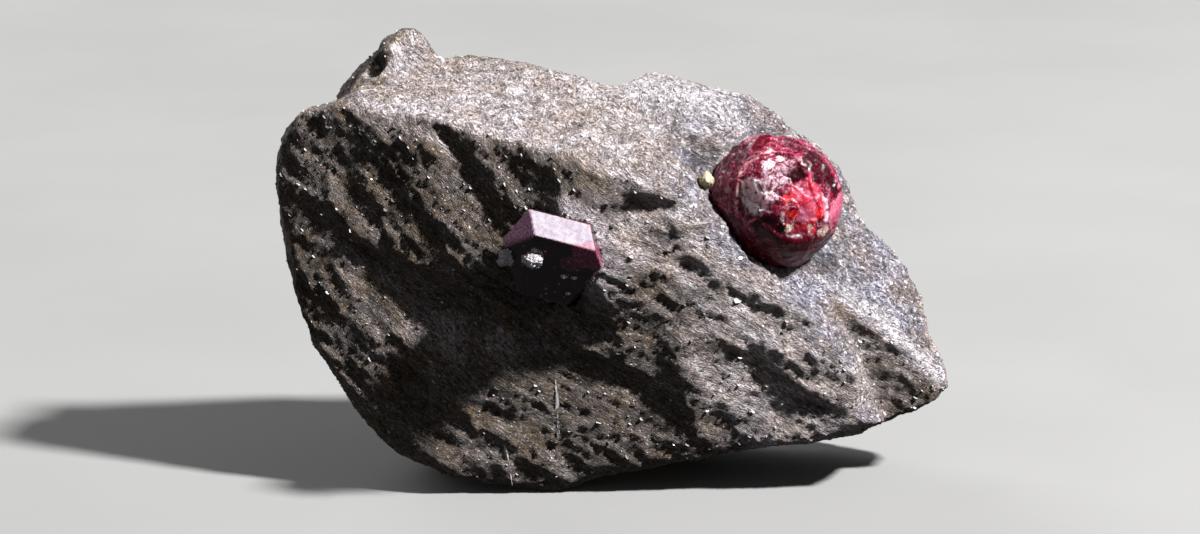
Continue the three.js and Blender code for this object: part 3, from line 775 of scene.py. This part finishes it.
def red_garnet_finish(look):
    """Almandine with its shell broken open: dull coat, fresh red breaks and black polish, with painted light
    and shade: glow, red glints, a highlight on the broken lip, a lift on the left and shade on its lower
    side.
    """
    finish = Finish("red_garnet")
    place = finish.place()
    wide = finish.clouds(place, 0.55, 4.0, 0.6)
    middle = finish.clouds(place, 1.7, 6.0, 0.68, 0.6)
    fine = finish.clouds(place, 6.0, 4.0, 0.7)
    _, facet_colour = finish.grains(place, 0.7)
    chip_edge, chip_colour = finish.grains(place, 2.2)

    dark = finish.mark("Dark")
    shell = finish.ramp(middle, 0.4, 0.58, look.deep_red, look.shell)
    bruise = finish.between(finish.clouds(place, 0.8, 5.0, 0.65, 1.0), 0.54, 0.64, 0.0, 0.45)
    shell = finish.blend(bruise, shell, look.coat)
    shell = finish.blend(finish.between(finish.mark("Band"), 0.2, 1.0, 0.0, 0.4), shell, look.pink)
    fresh = finish.blend(finish.channel(facet_colour, 0), look.deep_red, look.bright_red)
    wine = finish.between(finish.channel(chip_colour, 1), 0.55, 0.9, 0.0, 0.6)
    fresh = finish.blend(wine, fresh, look.wine)
    colour = finish.blend(finish.mark("Fresh"), shell, fresh)
    coat = finish.ramp(middle, 0.42, 0.62, look.coat_shade, look.coat)
    # Where the coat mark is above 0.75 the coat turns white: painted light on the crystal's dim left side.
    coat = finish.ramp(finish.mark("Coat"), 0.75, 1.0, coat, look.white)
    coat_share = finish.times(finish.mark("Coat"), finish.between(middle, 0.4, 0.53, 0.12, 0.95))
    colour = finish.blend(coat_share, colour, coat)
    crimson = finish.ramp(middle, 0.36, 0.66, look.bright_red, look.pink)
    colour = finish.blend(finish.mark("Crimson"), colour, crimson)
    colour = finish.blend(finish.times(finish.mark("Pink"), 0.85), colour, look.pink)
    # Painted glow of light from inside the crystal.
    colour = finish.blend(finish.mark("Glow"), colour, look.glow)
    colour = finish.blend(finish.mark("Deep"), colour, look.deep_red)
    colour = finish.blend(dark, colour, look.black_red)
    # Painted glints: bright red specks on the dark and deep places.
    specks = finish.times(
        finish.between(finish.channel(chip_colour, 2), 0.8, 0.84), finish.between(chip_edge, 0.4, 0.15)
    )
    depth = finish.most(dark, finish.mark("Deep"))
    colour = finish.blend(finish.times(specks, depth), colour, look.bright_red)
    clear = finish.between(depth, 0.0, 1.0, 1.0, 0.12)
    flecks = finish.times(finish.between(fine, 0.6, 0.74, 0.0, 0.3), clear)
    colour = finish.blend(flecks, colour, look.coat)
    veins = finish.most(finish.lines(place, 0.45, 0.014), finish.lines(place, 1.2, 0.012))
    veins = finish.times(veins, finish.between(middle, 0.42, 0.56, 0.0, 0.55))
    colour = finish.blend(finish.times(veins, clear), colour, look.coat)
    crumbs = finish.between(fine, 0.36, 0.54)
    colour = finish.blend(finish.times(finish.mark("White"), crumbs), colour, look.white)
    colour = finish.blend(finish.times(finish.mark("Cream"), crumbs), colour, look.cream)
    # The lip colour is partly the pale broken edge of the shell and partly a painted highlight along it.
    colour = finish.blend(finish.mark("Lip"), colour, look.lip_and_highlight)
    colour = finish.toned(colour, fine, 0.3, 0.7, 0.75, 1.2)

    dull = finish.most(coat_share, finish.mark("Cream"))
    height = finish.plus(finish.times(chip_edge, 0.6), fine)
    height = finish.plus(height, wide)
    finish.surface(
        Base_Color=colour,
        Roughness=finish.times(
            finish.between(dull, 0.0, 1.0, 0.24, 0.65), finish.between(depth, 0.0, 1.0, 1.0, 0.3)
        ),
        IOR=1.78,
        Specular_IOR_Level=0.14,
        Subsurface_Weight=finish.between(dull, 0.0, 1.0, 0.85, 0.6),
        Subsurface_Radius=(1.0, 0.28, 0.36),
        Subsurface_Scale=look.glow_depth,
        Normal=finish.relief(height, 0.06, 0.6),
    )
    return finish.material


class LargeGarnetSettings(bpy.types.PropertyGroup):
    """Sizes and colours of the large garnet."""

    pitch: a_length("Net pitch", "Spacing of the net that the crystal's surface is drawn on", 0.17)
    chip_relief: a_length("Chip relief", "Depth of the chips in the fresh red break", 0.3)
    band_relief: a_length("Band relief", "Height of the growth bands in the shell", 0.14)
    glow_depth: a_length("Glow depth", "How far red light spreads inside the crystal", 3.6)
    deep_red: a_colour("Deep red", "Colour of the clear crystal where it is deep", (0.085, 0.002, 0.008))
    bright_red: a_colour("Bright red", "Colour of the fresh breaks", (0.46, 0.012, 0.03))
    wine: a_colour("Wine", "Colour between the deep red and the shell", (0.30, 0.022, 0.065))
    shell: a_colour("Shell", "Colour of the outer shell", (0.27, 0.014, 0.058))
    coat: a_colour("Coat", "Colour of the dull film inside the broken shell", (0.66, 0.54, 0.60))
    coat_shade: a_colour("Coat shade", "Colour of the film where it is thin", (0.40, 0.18, 0.26))
    pink: a_colour("Pink", "Colour of the bruised pink places", (0.50, 0.11, 0.19))
    # Painted glow of light from inside the crystal.
    glow: a_colour("Glow", "Colour of the clear orange-red places", (0.66, 0.012, 0.012))
    black_red: a_colour("Black red", "Colour of the polished dark faces", (0.032, 0.002, 0.005))
    white: a_colour("White", "Colour of the bruised white places", (0.80, 0.71, 0.76))
    cream: a_colour("Cream", "Colour of the crust left on the crystal", (0.72, 0.61, 0.50))
    # Partly the pale broken edge and partly a painted highlight along it.
    lip_and_highlight: a_colour("Lip", "Colour of the broken edge of the shell", (0.74, 0.46, 0.40))


class SPECIMEN_OT_large_garnet(bpy.types.Operator):
    """Build the large red garnet over its solid"""

    bl_idname = "specimen.large_garnet"
    bl_label = "Large garnet"

    def execute(self, context):
        look = context.scene.specimen_large_garnet
        finish = red_garnet_finish(look)
        shape = merged_copy("garnet_large")
        garnet = as_piece(shape, "large_garnet", finish, "garnet_large")
        evened(garnet, look.pitch, GARNET_WEAR)
        self.work(garnet.data, look)
        return {"FINISHED"}

    def work(self, mesh, look):
        """Chips the fresh break, raises the growth bands and marks the patches."""
        points, normals = points_and_normals(mesh)
        chip_relief, band_relief = look.chip_relief / MM, look.band_relief / MM
        marks = {name: [] for name in (*GARNET_PATCHES, *GARNET_FACETS, "Lip", "Band")}
        for index, (point, normal) in enumerate(zip(points, normals)):
            view = on_drawing(point) - LARGE_CENTRE
            ripple = drift(view / 0.45) * 0.14
            wobble = drift(view / 0.8) * 0.32 + drift(view / 2.2) * 0.4 + ripple
            right, up = view.x + wobble.x, view.y + wobble.y
            here = {name: patch_weight(patches, right, up) for name, patches in GARNET_PATCHES.items()}
            for name, facets in GARNET_FACETS.items():
                inside = facet_weight(facets, view.x + ripple.x, view.y + ripple.y)
                here[name] = max(here.get(name, 0.0), inside)
            # Painted shade: deep red laid over the lower part, darker towards the bottom, the side that turns
            # from the light.
            here["Deep"] = max(here["Deep"], 0.75 * climb(up, -2.5, -5.0))
            # The lip mark is partly the pale broken edge of the shell and partly a painted highlight along
            # it.
            here["Lip"] = climb(distance_to_line(SHELL_LIP, right, up), 0.24, 0.06)
            front = climb(view.z, *FRONT_HALF)
            here = {name: front * weight for name, weight in here.items()}
            here["Lip"] *= climb(noise.noise(view / 0.6), -0.35, 0.25)
            here["Coat"] *= 1 - 0.85 * here["Fresh"]
            outside = climb(math.hypot(view.x - 0.3, view.y - 0.5), 4.6, 5.2)
            outside *= climb(0.75 * view.x - 0.65 * view.y, 1.0, -1.5)
            bands = (math.hypot(view.x - 0.6, view.y + 0.4) + 0.5 * wobble.z) / BAND_WIDTH
            band = bands - math.floor(bands)
            here["Band"] = outside * climb(band, 0.55, 0.95)
            middle = noise.voronoi(view / CHIP_WIDTH + wobble * 0.3)[1][0]
            chip = noise.cell_vector(middle * 7.0).dot(view / CHIP_WIDTH - middle)
            rise = chip_relief * (0.4 + 0.6 * max(here["Fresh"], here["Coat"])) * chip
            rise += band_relief * outside * (band - 0.5)
            rise += 0.05 * noise.noise(view / 0.5) + 0.03 * noise.noise(view / 0.25)
            points[index] = point + normal * (rise * MM)
            for name, weight in here.items():
                marks[name].append(weight)
        set_points(mesh, points)
        set_marks(mesh, marks)


def dark_garnet_finish(look):
    """Near-black almandine: frosted on top, with painted sheen where it faces the light, violet on the left,
    a painted wine glow on the front, and reddish edges, rusty below and a painted glow along the thin ones.
    """
    finish = Finish("dark_garnet")
    place = finish.place()
    middle = finish.clouds(place, 1.1, 6.0, 0.66, 0.4)
    fine = finish.clouds(place, 5.0, 5.0, 0.7)
    fleck_edge, fleck_colour = finish.grains(place, 1.9)
    frost_and_sheen = finish.mark("Frost")
    violet = finish.mark("Violet")

    dark = finish.ramp(middle, 0.4, 0.7, look.black, look.black_wine)
    bloom = finish.ramp(middle, 0.35, 0.65, look.frost_shade, look.frost_and_sheen)
    side = finish.ramp(fine, 0.4, 0.62, look.violet_shade, look.violet)
    colour = finish.blend(violet, dark, side)
    # The frost is partly painted sheen on the top that faces the light.
    colour = finish.blend(frost_and_sheen, colour, bloom)
    flecks = finish.times(
        finish.between(finish.channel(fleck_colour, 0), 0.88, 0.92), finish.between(fleck_edge, 0.4, 0.15)
    )
    colour = finish.blend(finish.times(flecks, 0.55), colour, look.frost_and_sheen)
    # Painted glow: the wine colour of light that shows through the front.
    wine_glow = finish.times(finish.mark("Wine"), finish.between(fine, 0.42, 0.6))
    colour = finish.blend(wine_glow, colour, look.wine)
    colour = finish.blend(finish.mark("Glow"), colour, look.edge_glow)
    rim = finish.times(finish.mark("Rim"), finish.between(middle, 0.35, 0.55, 0.3, 1.0))
    colour = finish.blend(rim, colour, look.rim)
    colour = finish.toned(colour, fine, 0.3, 0.7, 0.8, 1.15)

    dull = finish.most(finish.times(frost_and_sheen, 0.8), violet)
    height = finish.plus(finish.times(fine, 0.7), middle)
    finish.surface(
        Base_Color=colour,
        Roughness=finish.between(dull, 0.0, 1.0, 0.18, 0.85),
        Specular_IOR_Level=0.35,
        IOR=1.78,
        Normal=finish.relief(height, 0.05, 0.6),
    )
    return finish.material


class SmallGarnetSettings(bpy.types.PropertyGroup):
    """Sizes and colours of the small garnet."""

    pitch: a_length("Net pitch", "Spacing of the net that the faces are drawn on", 0.13)
    edge: a_length("Worn edge", "Width of the worn edge between two faces", 0.11)
    wave: a_length("Face wave", "Height of the slow waves in the faces", 0.05)
    black: a_colour("Black", "Colour of the dark front", (0.010, 0.004, 0.006))
    black_wine: a_colour(
        "Black wine", "Colour of the front where it lets a little red through", (0.035, 0.007, 0.014)
    )
    # The frost is partly painted sheen on the top that faces the light.
    frost_and_sheen: a_colour("Frost", "Colour of the frosted top", (0.42, 0.37, 0.43))
    frost_shade: a_colour("Frost shade", "Colour of the top where the frost is thin", (0.30, 0.24, 0.29))
    violet: a_colour("Violet", "Colour of the speckle on the left side", (0.80, 0.55, 0.75))
    violet_shade: a_colour("Violet shade", "Colour of the left side under the speckle", (0.50, 0.08, 0.26))
    # Painted glow of light that shows through the front.
    wine: a_colour("Wine", "Colour that shows through the right part of the front", (0.34, 0.06, 0.14))
    rim: a_colour("Rim", "Colour of the rusty crust along the lower edge", (0.42, 0.20, 0.18))
    edge_glow: a_colour("Edge glow", "Colour of the thin edges that let light through", (0.42, 0.10, 0.06))


class SPECIMEN_OT_small_garnet(bpy.types.Operator):
    """Build the small dark garnet over its solid"""

    bl_idname = "specimen.small_garnet"
    bl_label = "Small garnet"

    def execute(self, context):
        look = context.scene.specimen_small_garnet
        finish = dark_garnet_finish(look)
        shape = self.crystal()
        edges = [e for e in shape.edges if e.calc_face_angle(0.0) > EDGE_ANGLE]
        bmesh.ops.bevel(
            shape, geom=edges, offset=look.edge, segments=2, profile=0.5, affect="EDGES", material=-1
        )
        bmesh.ops.triangulate(shape, faces=shape.faces)
        garnet = as_piece(shape, "small_garnet", finish, "garnet_small")
        evened(garnet, look.pitch)
        self.work(garnet.data, look)
        return {"FINISHED"}

    def crystal(self):
        """The crystal of the solid without the crusts that are fused to it."""
        shape = merged_copy("garnet_small")
        tree = BVHTree.FromBMesh(shape)
        for right, up, wide, _ in WHITE_CRUSTS[:2]:
            hit, _ = seen(tree, right, up)
            reach = (wide + CRUST_MARGIN) * MM
            near = [v for v in shape.verts if (v.co - hit).length < reach]
            bmesh.ops.delete(shape, geom=near, context="VERTS")
        corners = [v.co.copy() for v in shape.verts]
        shape.free()
        hull = bmesh.new()
        for corner in corners:
            hull.verts.new(corner)
        found = bmesh.ops.convex_hull(hull, input=hull.verts)
        spare = dict.fromkeys([*found["geom_interior"], *found["geom_unused"]])
        spare = [v for v in spare if isinstance(v, bmesh.types.BMVert)]
        bmesh.ops.delete(hull, geom=spare, context="VERTS")
        bmesh.ops.dissolve_limit(hull, angle_limit=FLAT_ANGLE, verts=hull.verts, edges=hull.edges)
        bmesh.ops.recalc_face_normals(hull, faces=hull.faces)
        return hull

    def work(self, mesh, look):
        """Waves the faces a little, and marks the frost with its painted sheen, the violet side, the painted
        glow of the thin edges, the painted wine glow and the rusty rim.
        """
        points, normals = points_and_normals(mesh)
        wave = look.wave / MM
        marks = {"Frost": [], "Violet": [], "Glow": [], "Wine": [], "Rim": []}
        for index, (point, normal) in enumerate(zip(points, normals)):
            facing = DRAWING_TURN @ normal
            view = on_drawing(point) - SMALL_CENTRE
            rise = wave * (noise.noise(view / 1.6) + 0.5 * noise.noise(view / 0.5))
            points[index] = point + normal * (rise * MM)
            # The top faces the light: its frost mark also carries painted sheen.
            frost_and_sheen = climb(facing.dot(FROSTED_LIT_SIDE), 0.9, 0.97)
            violet = climb(facing.dot(VIOLET_SIDE), 0.72, 0.86) * climb(view.y - 0.35 * view.x, 3.0, 3.9)
            marks["Frost"].append(frost_and_sheen)
            marks["Violet"].append(violet * (1 - frost_and_sheen))
            thin = climb(facing.dot(FROSTED_LIT_SIDE), 0.8, 0.88) * climb(facing.dot(FROSTED_LIT_SIDE), 0.97, 0.93)
            marks["Glow"].append(0.7 * thin * climb(view.x, -1.0, 1.5))
            waver = 0.4 * noise.noise(view / 0.9)
            # Painted glow: the wine colour where light shows through the front.
            marks["Wine"].append(patch_weight(WINE_GLOW_PATCHES, view.x + waver, view.y - waver))
            rim = distance_to_line(LOWER_RIM, view.x + waver, view.y)
            marks["Rim"].append(climb(rim, 0.55, 0.15) * climb(view.z, -2.0, 0.0))
        set_points(mesh, points)
        set_marks(mesh, marks)


def crust_finish(look):
    """A grainy pale crust, greyer in patches."""
    finish = Finish("pale_crust")
    place = finish.place()
    middle = finish.clouds(place, 1.6, 5.0, 0.65)
    edge, colours = finish.grains(place, 5.0)
    colour = finish.ramp(middle, 0.35, 0.62, look.crust_shade, look.crust)
    colour = finish.toned(colour, finish.channel(colours, 0), 0.0, 1.0, 0.8, 1.15)
    finish.surface(
        Base_Color=colour,
        Roughness=finish.between(finish.channel(colours, 1), 0.0, 1.0, 0.55, 0.9),
        Normal=finish.relief(edge, 0.2, 1.0),
    )
    return finish.material


def grain_finish(look):
    """A cream grain with painted shade underneath, where it turns olive."""
    finish = Finish("cream_grain")
    place = finish.place()
    coordinates = finish.node("SeparateXYZ", {"Vector": place})
    middle = finish.clouds(place, 1.8, 5.0, 0.6)
    # Painted shade: olive low down, cream higher up, by height.
    height = finish.plus(coordinates.outputs["Z"], finish.times(middle, 0.9))
    low, high = GRAIN_LOW.z / MM + 0.65, GRAIN_HIGH.z / MM
    colour = finish.blend(finish.between(height, low, high), look.olive_shade, look.cream)
    colour = finish.toned(colour, middle, 0.3, 0.7, 0.8, 1.15)
    finish.surface(
        Base_Color=colour,
        Roughness=finish.between(middle, 0.3, 0.7, 0.45, 0.7),
        Normal=finish.relief(middle, 0.12, 0.8),
    )
    return finish.material


class CrustSettings(bpy.types.PropertyGroup):
    """Colours of the crusts and grains."""

    crust: a_colour("Crust", "Colour of the white crusts on the small garnet", (0.76, 0.72, 0.75))
    crust_shade: a_colour("Crust shade", "Colour of the crusts' hollows", (0.48, 0.42, 0.46))
    cream: a_colour("Cream", "Colour of the top of the pale grain", (0.47, 0.41, 0.28))
    # The olive is painted shade on the grain's underside.
    olive_shade: a_colour("Olive", "Colour of the underside of the pale grain", (0.17, 0.155, 0.065))


def lump(shape, centre, size, lean, seed, roughness):
    """A rough little lump: its centre, three half sizes in millimetres, and its out direction."""
    made = bmesh.ops.create_icosphere(shape, subdivisions=4, radius=1.0)["verts"]
    for vert in made:
        here = vert.co + Vector((seed, 0, 0))
        rise = noise.noise(here * 1.4) + 0.6 * noise.noise(here * 3.3)
        rise += 0.7 * noise.noise(here * 6.5) + 0.4 * noise.noise(here * 12.0)
        vert.co *= 1.0 + roughness * rise
    scale = Matrix.Diagonal((*[MM * s for s in size], 1.0))
    bmesh.ops.transform(shape, matrix=Matrix.Translation(centre) @ turned_to(lean) @ scale, verts=made)
    return made


class SPECIMEN_OT_crusts(bpy.types.Operator):
    """Build the white crusts on the small garnet and the pale grain"""

    bl_idname = "specimen.crusts"
    bl_label = "Crusts and grains"

    def execute(self, context):
        look = context.scene.specimen_crusts
        small = bpy.data.objects["small_garnet"]
        tree = BVHTree.FromObject(small, context.evaluated_depsgraph_get())
        shape = bmesh.new()
        for index, (right, up, wide, tall) in enumerate(WHITE_CRUSTS):
            hit, normal = seen(tree, right, up)
            lump(shape, hit, (wide, tall, 1.4 * tall), normal, 3.1 * index, 0.4)
        crusts = as_piece(shape, "white_crusts", crust_finish(look))
        crusts.data.shade_smooth()

        shape = bmesh.new()
        half = (GRAIN_HIGH - GRAIN_LOW) / 2 / MM
        lump(shape, GRAIN_CENTRE, half, Vector((0, 0, 1)), 21.0, 0.2)
        grain = as_piece(shape, "cream_grain", grain_finish(look), "pale_grain")
        grain.data.shade_smooth()
        return {"FINISHED"}


def flake_finish(look):
    """Silvery mica flakes, each a little different."""
    finish = Finish("mica_flakes")
    place = finish.place()
    tone = finish.mark("Tone")
    streaks = finish.clouds(finish.stretched(place, (2.0, 2.0, 6.0)), 1.5, 4.0, 0.6)
    colour = finish.blend(tone, look.dark_flake, look.flake)
    colour = finish.toned(colour, streaks, 0.3, 0.7, 0.75, 1.15)
    finish.surface(
        Base_Color=colour,
        Roughness=finish.between(tone, 0.0, 1.0, 0.5, 0.34),
        Specular_IOR_Level=0.5,
        Normal=finish.relief(streaks, 0.03, 0.5),
    )
    return finish.material


class FlakeSettings(bpy.types.PropertyGroup):
    """Number, sizes and colours of the mica flakes."""

    count: IntProperty(
        name="Flakes",
        description="Number of mica flakes on the schist",
        default=1800,
        min=0,
    )
    smallest: a_length("Smallest", "Radius of the smallest flakes", 0.16)
    largest: a_length("Largest", "Radius of the largest flakes", 0.45)
    seed: IntProperty(
        name="Seed",
        description="Start of the random draws that place the flakes",
        default=7,
    )
    flake: a_colour("Flake", "Colour of the pale flakes", (0.50, 0.48, 0.48))
    dark_flake: a_colour("Dark flake", "Colour of the dark flakes", (0.06, 0.052, 0.05))


class SPECIMEN_OT_flakes(bpy.types.Operator):
    """Set the mica flakes and pale slivers into the schist"""

    bl_idname = "specimen.flakes"
    bl_label = "Mica flakes"

    def execute(self, context):
        look = context.scene.specimen_flakes
        draw = random.Random(look.seed)
        block = bpy.data.objects["schist_block"]
        tree = BVHTree.FromObject(block, context.evaluated_depsgraph_get())
        points, normals = points_and_normals(block.data)
        shape = bmesh.new()
        tones = []
        for index in draw.sample(range(len(points)), look.count):
            point, normal = points[index], normals[index]
            radius = look.smallest + (look.largest - look.smallest) * draw.random() ** 2.5
            tone = 1.0 if draw.random() < PALE_SHARE else 0.0
            jitter = Vector((draw.gauss(0, 1), draw.gauss(0, 1), draw.gauss(0, 1)))
            lean = SHEET_UPRIGHT * math.copysign(1.0, normal.dot(SHEET_UPRIGHT)) + 0.2 * jitter
            if point.z < FLAKE_LOWEST * MM or self.by_crystal(point):
                continue
            depth = -0.25 * radius * (1.0 - lean.normalized().dot(normal))
            self.flake(shape, point + normal * depth, lean, radius, draw.random() * math.pi)
            tones.extend([tone] * (len(shape.faces) - len(tones)))
        hit, normal = seen(tree, *BRIGHT_FLAKE)
        self.flake(shape, hit + normal * 0.1 * MM, normal + 0.4 * SHEET_UPRIGHT, 0.7 * MM, 0.4)
        for start, end in PALE_SLIVERS:
            self.sliver(shape, tree, start, end)
        tones.extend([1.0] * (len(shape.faces) - len(tones)))
        flakes = as_piece(shape, "mica_flakes", flake_finish(look))
        set_marks(flakes.data, {"Tone": tones}, "FACE")
        return {"FINISHED"}

    def by_crystal(self, point):
        """Whether a place is inside or against one of the garnets."""
        view = on_drawing(point)
        return (view - LARGE_CENTRE).length < LARGE_CLEAR or (view - SMALL_CENTRE).length < SMALL_CLEAR

    def flake(self, shape, centre, lean, radius, spin):
        """One thin six-sided flake."""
        turn = turned_to(lean) @ Matrix.Rotation(spin, 4, "Z")
        place = Matrix.Translation(centre) @ turn @ Matrix.Diagonal((1.0, 0.7, 1.0, 1.0))
        depth = 0.16 * radius + 0.02 * MM
        bmesh.ops.create_cone(
            shape, cap_ends=True, segments=6, radius1=radius, radius2=0.9 * radius, depth=depth, matrix=place
        )

    def sliver(self, shape, tree, start, end):
        """One pale sliver that lies in the rock between two places of the drawing."""
        first, _ = seen(tree, *start)
        last, _ = seen(tree, *end)
        length = (last - first).length / MM
        made = lump(shape, Vector(), (0.5, 0.42, 1.0), Vector((0, 0, 1)), 5.0, 0.5)
        scale = Matrix.Diagonal((0.45, 0.5, 0.5 * length, 1.0))
        place = Matrix.Translation((first + last) / 2) @ turned_to(last - first) @ scale
        bmesh.ops.transform(shape, matrix=place, verts=made)


class StageSettings(bpy.types.PropertyGroup):
    """The floor and the lights."""

    floor: a_colour("Floor", "Colour of the floor", (0.26, 0.258, 0.255))
    key: a_power("Main light", "Strength of the light from above on the right", 50.0)
    fill: a_power("Fill light", "Strength of the soft light from the front left", 0.30)
    back: a_power("Back light", "Strength of the soft light from behind", 5.0)
    sky: FloatProperty(
        name="Surroundings",
        description="Strength of the light from all round",
        default=0.085,
    )


class SPECIMEN_OT_stage(bpy.types.Operator):
    """Lay the floor, and set the lights and the camera"""

    bl_idname = "specimen.stage"
    bl_label = "Stage"

    def execute(self, context):
        look = context.scene.specimen_stage
        scene = context.scene
        shape = bmesh.new()
        bmesh.ops.create_grid(shape, x_segments=4, y_segments=4, size=FLOOR_HALF)
        finish = Finish("pale_floor")
        weave = finish.clouds(finish.place(), 0.02, 3.0, 0.5)
        colour = finish.toned(look.floor, weave, 0.3, 0.7, 0.97, 1.03)
        finish.surface(Base_Color=colour, Roughness=0.85)
        floor = as_object(shape, "floor", finish.material)
        floor.visible_diffuse = False
        floor.visible_glossy = False

        middle = (CAD_LOW + CAD_HIGH) / 2
        for name, source, distance, width, power in LIGHTS:
            self.light(name, middle, Vector(source), distance, width, getattr(look, power))

        world = bpy.data.worlds.new("surroundings")
        world.use_nodes = True
        background = world.node_tree.nodes["Background"]
        background.inputs["Color"].default_value = SKY_COLOUR
        background.inputs["Strength"].default_value = look.sky
        scene.world = world

        camera = bpy.data.objects.new("camera", bpy.data.cameras.new("camera"))
        camera.data.lens = CAMERA_LENS
        camera.data.sensor_width = 36.0
        camera.data.clip_start = 0.01
        camera.location = drawn(*CAMERA_DRAWN)
        camera.rotation_euler = (-TOWARD).to_track_quat("-Z", "Y").to_euler()
        scene.collection.objects.link(camera)
        scene.camera = camera
        scene.view_settings.view_transform = "Standard"
        return {"FINISHED"}

    def light(self, name, aim, direction, distance, size, power):
        """A square light that looks at the specimen from a direction."""
        lamp = bpy.data.lights.new(name, "AREA")
        lamp.size = size
        lamp.energy = power
        made = bpy.data.objects.new(name, lamp)
        made.location = aim + direction.normalized() * distance
        made.rotation_euler = (-direction).to_track_quat("-Z", "Y").to_euler()
        bpy.context.scene.collection.objects.link(made)


class SPECIMEN_PT_panel(bpy.types.Panel):
    """The specimen's pieces and their sizes and colours"""

    bl_label = "Garnet in Matrix"
    bl_idname = "SPECIMEN_PT_panel"
    bl_space_type = "VIEW_3D"
    bl_region_type = "UI"
    bl_category = "Specimen"

    def draw(self, context):
        for kind, operator in zip(SETTINGS, OPERATORS):
            self.layout.operator(operator.bl_idname)
            settings = getattr(context.scene, kind)
            for name in settings.__annotations__:
                self.layout.prop(settings, name)


SETTINGS = {
    "specimen_schist": SchistSettings,
    "specimen_large_garnet": LargeGarnetSettings,
    "specimen_small_garnet": SmallGarnetSettings,
    "specimen_crusts": CrustSettings,
    "specimen_flakes": FlakeSettings,
    "specimen_stage": StageSettings,
}
OPERATORS = (
    SPECIMEN_OT_schist,
    SPECIMEN_OT_large_garnet,
    SPECIMEN_OT_small_garnet,
    SPECIMEN_OT_crusts,
    SPECIMEN_OT_flakes,
    SPECIMEN_OT_stage,
)
CLASSES = (*SETTINGS.values(), *OPERATORS, SPECIMEN_PT_panel)


def register():
    """Registers the settings, the operators and the panel."""
    for kind in CLASSES:
        bpy.utils.register_class(kind)
    for name, kind in SETTINGS.items():
        setattr(bpy.types.Scene, name, PointerProperty(type=kind))


def unregister():
    """Takes them away again."""
    for name in SETTINGS:
        delattr(bpy.types.Scene, name)
    for kind in reversed(CLASSES):
        bpy.utils.unregister_class(kind)


def main():
    """Builds the pieces and the stage."""
    register()
    bpy.ops.specimen.schist()
    bpy.ops.specimen.large_garnet()
    bpy.ops.specimen.small_garnet()
    bpy.ops.specimen.crusts()
    bpy.ops.specimen.flakes()
    bpy.ops.specimen.stage()


if __name__ == "__main__":
    main()
